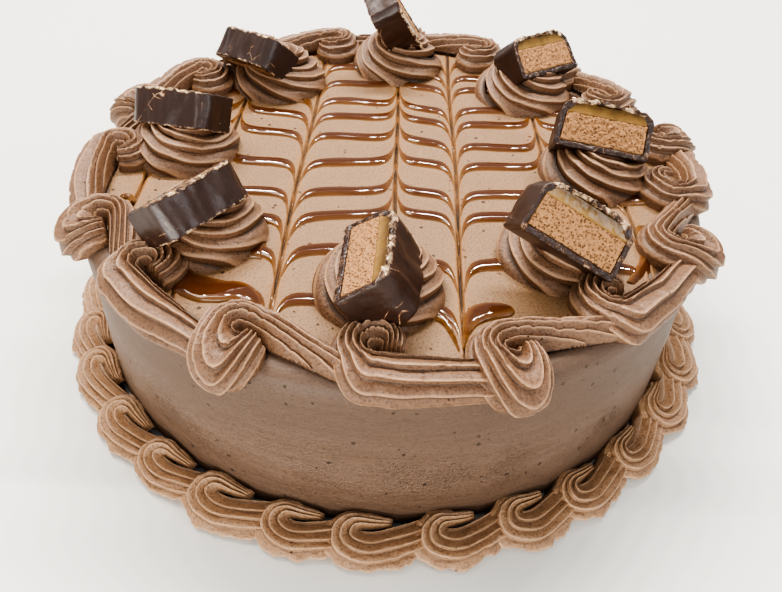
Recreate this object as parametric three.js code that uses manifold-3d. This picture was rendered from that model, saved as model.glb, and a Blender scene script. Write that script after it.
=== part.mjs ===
// A round single-layer chocolate cake, iced in milk-chocolate buttercream.
//
// The iced cake stands on its flat base at the origin, +Z up, millimetres, its
// front towards -Y. Caramel stripes lie on top, dragged into a feather pattern.
// A shell border runs round the foot, a border of scrolls that curl by turns
// outwards and inwards runs round the top edge, and eight swirled rosettes each
// carry a slice cut from a chocolate-coated nougat and caramel bar.

import * as THREE from 'three';
import { mergeVertices } from 'three/addons/utils/BufferGeometryUtils.js';
import Module from 'manifold-3d';

const wasm = await Module();
wasm.setup();

// ---------------------------------------------------------------- dimensions

const CAKE_RADIUS = 104;        // 8 inch round with its icing
const CAKE_HEIGHT = 60;
const EDGE_ROUNDING = 5;        // top edge, smoothed with a spatula
const FOOT_ROUNDING = 1.5;
const CAKE_SIDES = 56;
const ROUNDING_STEPS = 3;
const GAP = 0.3;                // between neighbouring pieces
const CUT_GAP = 0.4;            // the same where a faceted form does the cutting
const SPLINTER = 0.08;          // how far a cut's surface may move to lose its splinters
const ROOT_DEPTH = 1.2;         // how far a piped form reaches into what trims it
const HUB = 0.4;                // the smallest radius of a rope at its pivot

// Piped ropes come from a star tip: sharp ridges with rounded grooves between.
// The rope is a dome that starts at `edge` of its height at both sides.
const DOME = { edge: 0.34, power: 0.75 };
const SCROLL = { ridges: 4, groove: 1.3, curlStations: 7, tailStations: 2, width: 12, height: 9 };
const SCROLL_CURL = { start: 5, sweep: 265, first: 0.55, ramp: 1.35, taper: 0.14 };
const SCROLL_TAIL = { length: 35, past: 2, width: 8, height: 5.5, aside: 11, asideInward: -1.5 };
const ROSETTE = { ridges: 4, groove: 1.5, stations: 9, radius: 18.5, height: 14, sweep: 336 };
const ROSETTE_FORM = { shrink: 0.1, slump: 0.35, startStep: 77 };
const SHELL = { count: 30, ridges: 3, groove: 1.2, perArc: 5, lean: 20, root: 9 };
const SHELL_PIVOT = { out: 4.5, height: 3.2 };
const SHELL_PLACE = { first: 4.5, shift: 0.7, resize: 0.06 };

// The rope of a shell at six turns of its fan, in degrees from the way to the
// wall, and how far its pivot slides along the wall and drops down the slope.
const SHELL_FAN = [
  { turn: 0, width: 3.8, height: 3.2, slide: 8 }, { turn: 10, width: 4.8, height: 4.8, slide: 1 },
  { turn: 75, width: 8.8, height: 5.7 }, { turn: 125, width: 10.8, height: 6 },
  { turn: 172, width: 11, height: 5.6, slide: 3 },
  { turn: 180, width: 10, height: 4, slide: 17, drop: -4 },
];

// Scrolls in piping order, anticlockwise from above. Each is an azimuth and a
// pivot radius; the odd ones curl outwards over the edge, the others inwards.
const SCROLL_PIVOTS = [
  [-152, 96.5], [-135, 94.5], [-112, 96.5], [-91, 94], [-70.5, 97], [-48.5, 93.5],
  [-26, 96.5], [-7, 94], [11, 97], [30, 94], [49, 97], [69, 93.5],
  [89, 97], [108, 94], [127, 96.5], [146, 93.5], [164, 97], [-176.5, 93],
];

// Rosettes in the same order, each an azimuth and a distance from the centre.
const ROSETTES = [
  [-91.8, 66.5], [-43, 69], [-1, 69], [48.5, 76],
  [90.5, 79], [129.5, 75.5], [177, 73], [-141.5, 71],
];

// Slices of the coated bar. The section is the same for all; a slice has its
// length, the place of its middle and two directions: out of the cut that is
// shown, and up through the bar from its flat base to its rippled top.
const BAR = { width: 31, height: 17, base: 2, wall: 1.6, top: 1.7, nougat: 9.4, coatEnd: 2.2 };
const BAR_SHOULDER = { lean: 0.5, inset: 3.4, drop: 4, crown: 0.9 };
const SLICES = [
  { length: 15, middle: [-1.5, -73, 72.6], cut: [-0.56, -0.01, 0.83], up: [0.83, -0.04, 0.56], closed: true },
  { length: 13, middle: [49.5, -57.5, 78], cut: [0.2, -0.79, 0.57], up: [0.45, 0.6, 0.67] },
  { length: 12.5, middle: [69, 1, 75.5], cut: [-0.06, -0.75, 0.66], up: [0.17, 0.64, 0.75] },
  { length: 12.5, middle: [53.5, 60, 74], cut: [0.49, -0.52, 0.7], up: [-0.4, 0.58, 0.71] },
  { length: 12, middle: [-1.5, 76, 77.5], cut: [0.86, 0.08, 0.51], up: [0.3, -0.92, -0.25] },
  { length: 11.5, middle: [-56.5, 54, 73.5], cut: [0.38, 0.59, 0.72], up: [-0.53, -0.5, 0.69] },
  { length: 12, middle: [-73.5, 5, 74.5], cut: [0.09, 0.52, 0.85], up: [-0.32, -0.79, 0.52] },
  { length: 11.5, middle: [-56, -50, 75], cut: [-0.49, 0.33, 0.81], up: [0.67, -0.45, 0.59] },
];

// Caramel: stripes across the cake, dragged by a knife along lines that run from
// front to back, by turns towards the front and towards the back.
const STRIPE_PLACES = [75.5, 60.5, 44, 32.5, 17.5, 0, -18, -31.5, -48, -71];
const DRAG_LINES = [[-82, -1], [-58.5, 1], [-32.5, -1], [0.5, 1], [20.3, -1], [52.7, 1], [76.5, -1]];
const STRIPE = { halfWidth: 2.85, rise: 1.2, sunk: 0.42, pull: 11, reach: 4.2, wave: 0.8 };
const STRIPE_OFFSETS = [0, 2.3, 7.1];   // stations on each side of a drag line
const STRIPE_AREA = { radius: 79, depth: 8, sides: 32, smallest: 12 };
const ROSETTE_CLEARANCE = { gap: 1.2, sides: 16 };

const COLOURS = {
  icing: 0x9a7458, piping: 0x96694a, coat: 0x35211a, nougat: 0xc99b6d, caramel: 0x8d7038,
};

// ---------------------------------------------------------------- solids

const degrees = THREE.MathUtils.degToRad;
const random = seeded(11);

// A repeatable source of numbers between -1 and 1.
function seeded(seed) {
  let state = seed;
  return () => {
    state = (state * 16807) % 2147483647;
    return (2 * state) / 2147483647 - 1;
  };
}

// The closed mesh of a geometry as a solid, its faces turned outwards.
function toSolid(geometry) {
  geometry.deleteAttribute('normal');
  geometry.deleteAttribute('uv');
  const merged = mergeVertices(geometry, 1e-5);
  const triVerts = Uint32Array.from(merged.index.array);
  const make = () => new wasm.Manifold(new wasm.Mesh({
    numProp: 3, vertProperties: new Float32Array(merged.attributes.position.array), triVerts,
  }));
  const solid = make();
  if (solid.volume() > 0) {
    return solid;
  }
  for (let i = 0; i < triVerts.length; i += 3) {
    [triVerts[i], triVerts[i + 1]] = [triVerts[i + 1], triVerts[i]];
  }
  return make();
}

function toGeometry(solid) {
  const { vertProperties, triVerts } = solid.getMesh();
  const geometry = new THREE.BufferGeometry();
  geometry.setAttribute('position', new THREE.Float32BufferAttribute(vertProperties, 3));
  geometry.setIndex(Array.from(triVerts));
  geometry.computeVertexNormals();
  return geometry;
}

// The largest of the bodies that a cut leaves, without the cut's splinters.
function largest(solid) {
  const bodies = solid.decompose();
  const body = bodies.reduce((best, next) => (next.volume() > best.volume() ? next : best));
  return body.simplify(SPLINTER);
}

// A tube with a section of `points` points at each of `stations` stations,
// capped at both ends; `place(station, point)` says where each one lies.
function sweep(stations, points, place) {
  const tube = new THREE.CylinderGeometry(1, 1, 1, points, stations - 1);
  tube.deleteAttribute('normal');
  tube.deleteAttribute('uv');
  const merged = mergeVertices(tube, 1e-5);
  const position = merged.attributes.position;
  for (let i = 0; i < position.count; i += 1) {
    const station = Math.round((0.5 - position.getY(i)) * (stations - 1));
    const around = Math.atan2(position.getX(i), position.getZ(i)) / (2 * Math.PI);
    const spot = new THREE.Vector3();
    if (Math.hypot(position.getX(i), position.getZ(i)) > 0.5) {
      spot.copy(place(station, (Math.round(around * points) + points) % points));
    } else {
      for (let j = 0; j < points; j += 1) {
        spot.addScaledVector(place(station, j), 1 / points);
      }
    }
    position.setXYZ(i, spot.x, spot.y, spot.z);
  }
  return toSolid(merged);
}

// A point on the icing: `reach` is measured from the axis along the flat top,
// round the edge and down the side, and `lift` away from the icing.
function onCake(azimuth, reach, lift) {
  const flat = CAKE_RADIUS - EDGE_ROUNDING;
  const arc = EDGE_ROUNDING * Math.PI / 2;
  const turn = THREE.MathUtils.clamp((reach - flat) / EDGE_ROUNDING, 0, Math.PI / 2);
  const drop = Math.max(reach - flat - arc, 0);
  const radius = Math.min(reach, flat) + (EDGE_ROUNDING + lift) * Math.sin(turn);
  const height = CAKE_HEIGHT - EDGE_ROUNDING + (EDGE_ROUNDING + lift) * Math.cos(turn) - drop;
  return new THREE.Vector3(radius * Math.cos(azimuth), radius * Math.sin(azimuth), height);
}

// The section of a star-tip rope: share across it and lift at point `point`.
// Ridges and grooves take turns over the top, and two more points are its root.
function ropeSection(point, ridges, height, groove, root) {
  const upper = 2 * ridges - 1;
  if (point >= upper) {
    return { across: point === upper ? 1 : 0, lift: -root };
  }
  const across = point / (upper - 1);
  const dome = DOME.edge + (1 - DOME.edge) * Math.sin(Math.PI * across) ** DOME.power;
  return { across, lift: height * dome - (point % 2 ? groove : 0) };
}

const sectionPoints = (ridges) => 2 * ridges + 1;

// ---------------------------------------------------------------- iced cake

function cakeProfile(skin) {
  const radius = CAKE_RADIUS + skin;
  const rounding = EDGE_ROUNDING + skin;
  const foot = skin ? -1 : 0;
  const profile = [new THREE.Vector2(0, foot), new THREE.Vector2(radius - FOOT_ROUNDING, foot)];
  profile.push(new THREE.Vector2(radius, foot + FOOT_ROUNDING));
  for (let step = 0; step <= ROUNDING_STEPS; step += 1) {
    const turn = (step / ROUNDING_STEPS) * Math.PI / 2;
    profile.push(new THREE.Vector2(
      radius - rounding + rounding * Math.cos(turn),
      CAKE_HEIGHT - EDGE_ROUNDING + rounding * Math.sin(turn),
    ));
  }
  profile.push(new THREE.Vector2(0, CAKE_HEIGHT + skin));
  return profile;
}

function cakeBody(skin) {
  const lathe = new THREE.LatheGeometry(cakeProfile(skin), CAKE_SIDES);
  lathe.rotateX(Math.PI / 2);
  return toSolid(lathe);
}

// One stripe of caramel, a low ridge whose middle is dragged at each line.
function stripe(place, clearance) {
  const stations = [];
  for (let line = 0; line + 1 < DRAG_LINES.length; line += 1) {
    const [left, leftSign] = DRAG_LINES[line];
    const [right, rightSign] = DRAG_LINES[line + 1];
    const wave = STRIPE.wave * random();
    const { pull, reach } = STRIPE;
    for (const offset of STRIPE_OFFSETS) {
      const drag = leftSign * pull * Math.exp(-offset / reach);
      stations.push([left + offset, place + wave + drag, offset]);
    }
    for (const offset of STRIPE_OFFSETS.slice(1).reverse()) {
      const drag = rightSign * pull * Math.exp(-offset / reach);
      stations.push([right - offset, place + wave + drag, offset]);
    }
  }
  const solid = sweep(stations.length, 3, (station, point) => {
    const [x, y, offset] = stations[station];
    if (point === 2) {
      return new THREE.Vector3(x, y, CAKE_HEIGHT + STRIPE.rise);
    }
    const half = offset ? STRIPE.halfWidth : STRIPE.halfWidth / 2;
    const side = point === 0 ? -half : half;
    return new THREE.Vector3(x, y + side, CAKE_HEIGHT - STRIPE.sunk);
  });
  return solid.intersect(clearance);
}

// The part of the top that the toppings leave free for caramel.
function freeTop() {
  const { radius: limit, depth, sides } = STRIPE_AREA;
  const disc = new THREE.CylinderGeometry(limit, limit, depth, sides);
  disc.rotateX(Math.PI / 2);
  disc.translate(0, 0, CAKE_HEIGHT);
  let free = toSolid(disc);
  for (const [azimuth, distance] of ROSETTES) {
    const radius = ROSETTE.radius + ROSETTE_CLEARANCE.gap;
    const hole = new THREE.CylinderGeometry(radius, radius, 2 * depth, ROSETTE_CLEARANCE.sides);
    hole.rotateX(Math.PI / 2);
    hole.translate(distance * Math.cos(degrees(azimuth)), distance * Math.sin(degrees(azimuth)), CAKE_HEIGHT);
    free = free.subtract(toSolid(hole));
  }
  return free;
}

function icedCake() {
  const clearance = freeTop();
  let cake = cakeBody(0);
  for (const place of STRIPE_PLACES) {
    for (const piece of stripe(place, clearance).decompose()) {
      if (piece.volume() > STRIPE_AREA.smallest) {
        cake = cake.add(piece);
      }
    }
  }
  return cake;
}

// ---------------------------------------------------------------- top border

// A scroll: the rope turns three quarters round its pivot, then runs on past
// the next pivot. Outward scrolls lean over the edge, inward ones mirror them.
function scroll(index, skin) {
  const [azimuth, pivot] = SCROLL_PIVOTS[index];
  const outward = index % 2 === 0 ? 1 : -1;
  const { ridges, groove, curlStations, tailStations } = SCROLL;
  const { start, sweep: around, first, ramp, taper } = SCROLL_CURL;
  const next = SCROLL_PIVOTS[(index + 1) % SCROLL_PIVOTS.length];
  const span = degrees((next[0] - azimuth + 720) % 360) * pivot;
  const tailLength = Math.min(SCROLL_TAIL.length, span + SCROLL_TAIL.past);
  const aside = outward > 0 ? SCROLL_TAIL.aside : SCROLL_TAIL.asideInward;
  const drift = aside + (next[1] - pivot) * outward;
  const stations = curlStations + tailStations;
  return sweep(stations, sectionPoints(ridges), (station, point) => {
    const curl = Math.min(station / (curlStations - 1), 1);
    const tail = Math.max((station - curlStations + 1) / tailStations, 0);
    const turn = degrees(start + around * curl);
    const fill = Math.sin(Math.PI * Math.min(ramp * curl, 0.5));
    const swell = first + (1 - first) * fill - taper * curl ** 3;
    const width = THREE.MathUtils.lerp(SCROLL.width * swell, SCROLL_TAIL.width, tail) + skin;
    const height = THREE.MathUtils.lerp(SCROLL.height * swell ** 0.4, SCROLL_TAIL.height, tail) + skin;
    const { across, lift } = ropeSection(point, ridges, height, groove, ROOT_DEPTH);
    const from = HUB - skin + across * (width + skin);
    const along = from * Math.cos(turn) + tail * tailLength;
    const out = outward * (from * Math.sin(turn) + drift * tail ** 1.4);
    return onCake(degrees(azimuth) + along / pivot, pivot + out, lift);
  });
}

// ---------------------------------------------------------------- rosettes

function rosetteCentre(index) {
  const [azimuth, distance] = ROSETTES[index];
  return new THREE.Vector3(
    distance * Math.cos(degrees(azimuth)), distance * Math.sin(degrees(azimuth)), CAKE_HEIGHT,
  );
}

// A rosette: a rope swirled round a centre, its ridges spiralling inwards.
function rosette(index, skin) {
  const centre = rosetteCentre(index);
  const { ridges, groove, stations, radius, height, sweep: around } = ROSETTE;
  const start = degrees(index * ROSETTE_FORM.startStep);
  return sweep(stations, sectionPoints(ridges), (station, point) => {
    const share = station / (stations - 1);
    const turn = start + degrees(around * share);
    const reach = radius * (1 - ROSETTE_FORM.shrink * share) + skin;
    const { across, lift } = ropeSection(point, ridges, height + skin, groove, ROOT_DEPTH);
    const from = HUB + across * (reach - HUB);
    const slump = 1 - ROSETTE_FORM.slump * across ** 2;
    return new THREE.Vector3(
      centre.x + from * Math.cos(turn), centre.y + from * Math.sin(turn),
      centre.z + (lift > 0 ? lift * slump : lift),
    );
  });
}

// ---------------------------------------------------------------- foot border

const shellPlaces = Array.from({ length: SHELL.count }, (_, index) => {
  const shift = SHELL_PLACE.first + SHELL_PLACE.shift * random();
  const azimuth = (2 * Math.PI * index) / SHELL.count + degrees(shift);
  return { azimuth, size: 1 + SHELL_PLACE.resize * random() };
});

// A shell: the rope starts along the wall, doubles back round the clockwise
// side as it fans out, and runs off as a tail that the next shell covers.
function shell({ azimuth, size }, skin) {
  const { ridges, groove, lean, root } = SHELL;
  const down = new THREE.Vector2(Math.cos(degrees(lean)), -Math.sin(degrees(lean)));
  const out = new THREE.Vector2(-down.y, down.x);
  return sweep(SHELL_FAN.length, sectionPoints(ridges), (station, point) => {
    const { turn, width, height, slide = 0, drop = 0 } = SHELL_FAN[station];
    const { across, lift } = ropeSection(point, ridges, height * size + skin, groove, root);
    const from = HUB - skin + across * (width * size + 2 * skin);
    const along = slide - from * Math.sin(degrees(turn));
    const fall = drop - from * Math.cos(degrees(turn));
    const radius = CAKE_RADIUS + SHELL_PIVOT.out + fall * down.x + lift * out.x;
    const level = SHELL_PIVOT.height + fall * down.y + lift * out.y;
    const bearing = azimuth + along / CAKE_RADIUS;
    return new THREE.Vector3(radius * Math.cos(bearing), radius * Math.sin(bearing), level);
  });
}

// ---------------------------------------------------------------- bar slices

// The outline of the bar's section, drawn in by `wall` at the sides, between
// two heights: flat below, its sides leaning in to a low crowned top.
function barOutline(wall, low, high, skin = 0) {
  const { lean, inset, drop, crown } = BAR_SHOULDER;
  const foot = BAR.width / 2 - wall + skin;
  const waist = foot - lean;
  const shoulder = foot - inset;
  const outline = new THREE.Shape();
  outline.moveTo(-foot, low - skin);
  outline.lineTo(foot, low - skin);
  outline.lineTo(waist, high - drop + skin);
  outline.lineTo(shoulder, high - crown + skin);
  outline.lineTo(-shoulder, high - crown + skin);
  outline.lineTo(-waist, high - drop + skin);
  outline.closePath();
  return outline;
}

// A slab of the bar between two places along it; the cut that shows is at 0.
function slab(outline, from, to) {
  const block = new THREE.ExtrudeGeometry(outline, { depth: to - from, bevelEnabled: false });
  block.translate(0, 0, -to);
  return toSolid(block);
}

// Turns and places a slab: its section's y runs up the bar, +z out of the cut.
function placeSlice(solid, { length, middle, cut, up }) {
  const out = new THREE.Vector3(...cut).normalize();
  const rise = new THREE.Vector3(...up);
  rise.addScaledVector(out, -rise.dot(out)).normalize();
  const side = new THREE.Vector3().crossVectors(rise, out);
  const frame = new THREE.Matrix4().makeBasis(side, rise, out);
  frame.setPosition(new THREE.Vector3(...middle));
  frame.multiply(new THREE.Matrix4().makeTranslation(0, -BAR.height / 2, length / 2));
  return solid.transform(frame.elements);
}

// Everything between two heights in the bar.
function layer(low, high) {
  const block = new THREE.BoxGeometry(2 * BAR.width, high - low, 2 * BAR.width);
  block.translate(0, (low + high) / 2, 0);
  return toSolid(block);
}

function barPieces(slice) {
  const { length, closed } = slice;
  const hollow = closed ? length - BAR.coatEnd : length + 1;
  const whole = slab(barOutline(0, 0, BAR.height), 0, length);
  const bore = slab(barOutline(BAR.wall, BAR.base, BAR.height - BAR.top), -1, hollow);
  const end = closed ? hollow - GAP : length;
  const filling = slab(
    barOutline(BAR.wall + GAP, BAR.base + GAP, BAR.height - BAR.top - GAP), 0, end,
  );
  const split = BAR.base + BAR.nougat;
  return {
    coat: placeSlice(whole.subtract(bore), slice),
    nougat: placeSlice(filling.intersect(layer(0, split)), slice),
    caramel: placeSlice(filling.intersect(layer(split + GAP, BAR.height)), slice),
  };
}

function barSpace(slice) {
  const outline = barOutline(0, 0, BAR.height, CUT_GAP);
  return placeSlice(slab(outline, -CUT_GAP, slice.length + CUT_GAP), slice);
}

// ---------------------------------------------------------------- assembly

const cake = new THREE.Group();

function addPart(name, solid, colour, roughness) {
  const material = new THREE.MeshStandardMaterial({ color: colour, roughness, metalness: 0 });
  const mesh = new THREE.Mesh(toGeometry(solid), material);
  mesh.name = name;
  cake.add(mesh);
}

const pad = (number) => String(number).padStart(2, '0');
const trimmer = cakeBody(GAP);
const barSpaces = SLICES.map(barSpace);

addPart('cake_body', icedCake(), COLOURS.icing, 0.55);

for (let index = 0; index < ROSETTES.length; index += 1) {
  let solid = rosette(index, 0).subtract(trimmer);
  for (const space of barSpaces) {
    solid = solid.subtract(space);
  }
  addPart(`rosette_${pad(index + 1)}`, largest(solid), COLOURS.piping, 0.6);
}

const rosetteSpaces = ROSETTES.map((_, index) => rosette(index, CUT_GAP));
for (let index = 0; index < SCROLL_PIVOTS.length; index += 1) {
  const next = scroll((index + 1) % SCROLL_PIVOTS.length, CUT_GAP);
  let solid = scroll(index, 0).subtract(trimmer).subtract(next);
  for (const space of [...rosetteSpaces, ...barSpaces]) {
    solid = solid.subtract(space);
  }
  addPart(`top_scroll_${pad(index + 1)}`, largest(solid), COLOURS.piping, 0.6);
}

const below = new THREE.BoxGeometry(3 * CAKE_RADIUS, 3 * CAKE_RADIUS, CAKE_HEIGHT);
below.translate(0, 0, -CAKE_HEIGHT / 2);
const ground = toSolid(below);
for (let first = 0; first < SHELL.count; first += SHELL.perArc) {
  let arc = shell(shellPlaces[first], 0);
  for (let index = first + 1; index < first + SHELL.perArc; index += 1) {
    arc = arc.add(shell(shellPlaces[index], 0));
  }
  const next = shell(shellPlaces[(first + SHELL.perArc) % SHELL.count], CUT_GAP);
  arc = arc.subtract(next).subtract(trimmer).subtract(ground);
  addPart(`shell_border_${pad(first / SHELL.perArc + 1)}`, largest(arc), COLOURS.piping, 0.6);
}

SLICES.forEach((slice, index) => {
  const pieces = barPieces(slice);
  addPart(`bar_coat_${pad(index + 1)}`, pieces.coat, COLOURS.coat, 0.45);
  addPart(`bar_nougat_${pad(index + 1)}`, pieces.nougat, COLOURS.nougat, 0.85);
  addPart(`bar_caramel_${pad(index + 1)}`, pieces.caramel, COLOURS.caramel, 0.3);
});

export default cake;
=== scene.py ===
import math

import bmesh
import bpy
import numpy as np
from mathutils import Matrix, Vector, noise


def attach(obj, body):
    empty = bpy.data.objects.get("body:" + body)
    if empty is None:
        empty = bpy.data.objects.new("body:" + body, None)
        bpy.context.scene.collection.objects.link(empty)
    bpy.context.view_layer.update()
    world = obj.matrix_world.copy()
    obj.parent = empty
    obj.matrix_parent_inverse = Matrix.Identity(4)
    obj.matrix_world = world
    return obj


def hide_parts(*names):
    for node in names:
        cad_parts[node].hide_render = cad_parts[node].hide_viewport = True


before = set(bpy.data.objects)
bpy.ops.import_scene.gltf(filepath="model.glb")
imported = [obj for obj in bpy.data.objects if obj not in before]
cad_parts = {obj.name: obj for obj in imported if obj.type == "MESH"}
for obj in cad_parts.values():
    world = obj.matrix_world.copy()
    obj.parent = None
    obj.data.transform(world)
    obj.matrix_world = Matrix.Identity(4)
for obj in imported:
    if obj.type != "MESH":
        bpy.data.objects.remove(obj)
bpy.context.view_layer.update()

# ------------------------------------------------------------------ the view
# The camera looks down on the cake from the front, at 42 degrees and about
# 29 cm from its middle, and leans a little to one side. Its pictures have a
# high contrast.

LENS_PIXELS, PICTURE_PIXELS = 731.34, 782  # focal length and picture width
SENSOR_WIDTH = 36
CAMERA_ELEVATION = math.radians(41.835)
CAMERA_ROLL = math.radians(2.642)
CAMERA_TARGET = Vector((0.00126, -0.00177, 0.0))
CAMERA_DISTANCE = 0.29305

camera = bpy.data.objects.new("camera", bpy.data.cameras.new("camera"))
bpy.context.collection.objects.link(camera)
bpy.context.scene.camera = camera
camera.data.sensor_width = SENSOR_WIDTH
camera.data.lens = LENS_PIXELS / PICTURE_PIXELS * SENSOR_WIDTH
camera.data.clip_start = 0.01
back = Vector((0, -math.cos(CAMERA_ELEVATION), math.sin(CAMERA_ELEVATION)))
level_up = Vector((0, math.sin(CAMERA_ELEVATION), math.cos(CAMERA_ELEVATION)))
right = math.cos(CAMERA_ROLL) * Vector((1, 0, 0)) + math.sin(CAMERA_ROLL) * level_up
up = math.cos(CAMERA_ROLL) * level_up - math.sin(CAMERA_ROLL) * Vector((1, 0, 0))
view = Matrix((right, up, back)).transposed().to_4x4()
view.translation = CAMERA_TARGET + back * CAMERA_DISTANCE
camera.matrix_world = view
bpy.context.scene.view_settings.look = "AgX - High Contrast"

# ---------------------------------------------------------------- iced cake
# A round sponge cake under a coat of milk-chocolate buttercream. The side was
# smoothed with a spatula turned round it, which leaves level streaks, small
# torn pits and a soft rounded edge.

CAKE_RADIUS, CAKE_HEIGHT = 0.104, 0.060
EDGE_ROUNDING, FOOT_ROUNDING = 0.005, 0.0015
TUCK_RADIUS, TUCK_DEPTH = 0.0885, 0.0012  # the side ends here, just under the top
SIDE_WAVES, SIDE_STREAKS = 0.0005, 0.00012  # how far they stand out


def linear(hex_colour):
    """An sRGB hex colour as a linear colour with its alpha."""
    channels = [int(hex_colour[i:i + 2], 16) / 255 for i in (1, 3, 5)]
    return (*(channel / 12.92 if channel <= 0.04045 else ((channel + 0.055) / 1.055) ** 2.4
              for channel in channels), 1.0)


def add_node(material, kind, values=None, **settings):
    """Adds a node; `values` fills its inputs with numbers, colours or links."""
    node = material.node_tree.nodes.new(kind)
    for name, value in settings.items():
        setattr(node, name, value)
    for key, value in (values or {}).items():
        if isinstance(value, bpy.types.NodeSocket):
            material.node_tree.links.new(value, node.inputs[key])
        else:
            node.inputs[key].default_value = value
    return node


def new_material(name, roughness, specular=0.5):
    """A material with its one shader, which is also returned."""
    material = bpy.data.materials.new(name)
    material.use_nodes = True
    shader = material.node_tree.nodes["Principled BSDF"]
    shader.inputs["Roughness"].default_value = roughness
    shader.inputs["Specular IOR Level"].default_value = specular
    return material, shader


def buttercream(name, shade, light, deep, streak, crest=None, roughness=0.5):
    """Whipped butter and sugar with cocoa: satin, finely grained by its sugar, with pin-sized air bubbles
    whose pits get painted shade. `streak` stretches its grain along the level. With `crest`, the ridge
    crests get a painted highlight in that colour and the hollows get painted shade."""
    material, shader = new_material(name, roughness, 0.42)
    link = material.node_tree.links.new
    place = add_node(material, "ShaderNodeTexCoord").outputs["Object"]
    drawn = add_node(material, "ShaderNodeMapping", {"Vector": place, "Scale": (*streak, 1)})
    # broad soft patches, 12 mm, where the icing was pressed thin or thick
    patches = add_node(material, "ShaderNodeTexNoise", {
        "Vector": drawn.outputs[0], "Scale": 85, "Detail": 4, "Roughness": 0.6})
    # sugar grain, 0.7 mm
    grain = add_node(material, "ShaderNodeTexNoise", {
        "Vector": place, "Scale": 1400, "Detail": 3, "Roughness": 0.7})
    # spatula streaks, 1.4 mm apart
    streaks = add_node(material, "ShaderNodeTexNoise", {
        "Vector": drawn.outputs[0], "Scale": 700, "Detail": 4, "Roughness": 0.55})
    # at most one air bubble in each 3 mm cell; three cells in ten have none
    cells = add_node(material, "ShaderNodeTexVoronoi", {
        "Vector": place, "Scale": 300, "Randomness": 1.0})
    lottery = add_node(material, "ShaderNodeSeparateColor", {"Color": cells.outputs["Color"]})
    size = add_node(material, "ShaderNodeMapRange", {
        "Value": lottery.outputs[0], "From Min": 0.3, "From Max": 1.0,
        "To Min": 0.0, "To Max": 0.1 if crest else 0.2})
    bubble = add_node(material, "ShaderNodeMath", {
        0: size.outputs[0], 1: cells.outputs["Distance"]}, operation="SUBTRACT")
    bubble = add_node(material, "ShaderNodeMapRange", {
        "Value": bubble.outputs[0], "From Min": -0.01, "From Max": 0.05})
    colour = add_node(material, "ShaderNodeMix", {
        0: patches.outputs[0], 6: linear(shade), 7: linear(light)}, data_type="RGBA")
    colour = add_node(material, "ShaderNodeMix", {
        0: add_node(material, "ShaderNodeMapRange", {
            "Value": grain.outputs[0], "From Min": 0.50, "From Max": 0.68,
            "To Max": 0.65}).outputs[0],
        6: colour.outputs[2], 7: linear(deep)}, data_type="RGBA")
    if crest:
        # painted highlight: thin ridge edges, where light catches and shines through them, are tinted
        # pale; painted shade: the hollows are tinted deep
        edge = add_node(material, "ShaderNodeAttribute", attribute_name="crest")
        colour = add_node(material, "ShaderNodeMix", {
            0: add_node(material, "ShaderNodeMapRange", {
                "Value": edge.outputs["Fac"], "From Min": 0.84, "From Max": 1.0,
                "To Max": 0.6}).outputs[0],
            6: colour.outputs[2], 7: linear(crest)}, data_type="RGBA")
        colour = add_node(material, "ShaderNodeMix", {
            0: add_node(material, "ShaderNodeMapRange", {
                "Value": edge.outputs["Fac"], "From Min": 0.0, "From Max": 0.25,
                "To Min": 0.75, "To Max": 0.0}).outputs[0],
            6: colour.outputs[2], 7: linear(deep)}, data_type="RGBA")
    # painted shade: each bubble pit is tinted dark
    colour = add_node(material, "ShaderNodeMix", {
        0: bubble.outputs[0], 6: colour.outputs[2], 7: linear(deep)}, data_type="RGBA")
    link(colour.outputs[2], shader.inputs["Base Color"])
    relief = add_node(material, "ShaderNodeBump", {
        "Height": streaks.outputs[0], "Strength": 0.5, "Distance": 0.0005})
    relief = add_node(material, "ShaderNodeBump", {
        "Height": grain.outputs[0], "Normal": relief.outputs[0],
        "Strength": 0.5, "Distance": 0.0004})
    relief = add_node(material, "ShaderNodeBump", {
        "Height": bubble.outputs[0], "Normal": relief.outputs[0],
        "Strength": 0.8, "Distance": 0.0005}, invert=True)
    link(relief.outputs[0], shader.inputs["Normal"])
    return material


SEED_SHIFT = np.array([7.31, 3.17, 1.93])  # so that each seed gives other noise


def wavy(points, period, seed, octaves=3):
    """Smooth noise from -1 to 1 at each row of `points`, of that period."""
    shifted = np.asarray(points) / period + seed * SEED_SHIFT
    return np.array([noise.fractal(Vector(point), 0.9, 2.0, octaves) for point in shifted])


def uneven(along, across, seed, octaves=2):
    """Smooth noise from -1 to 1 over two directions of a sheet."""
    return wavy(np.stack([along, across, 0 * along], 1), 1, seed, octaves)


def rounded(share):
    """Rises from 0 to 1 like a quarter of a circle."""
    return np.sqrt(1 - (1 - np.clip(share, 0, 1)) ** 2)


WELD_DISTANCE = 0.000004


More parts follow.
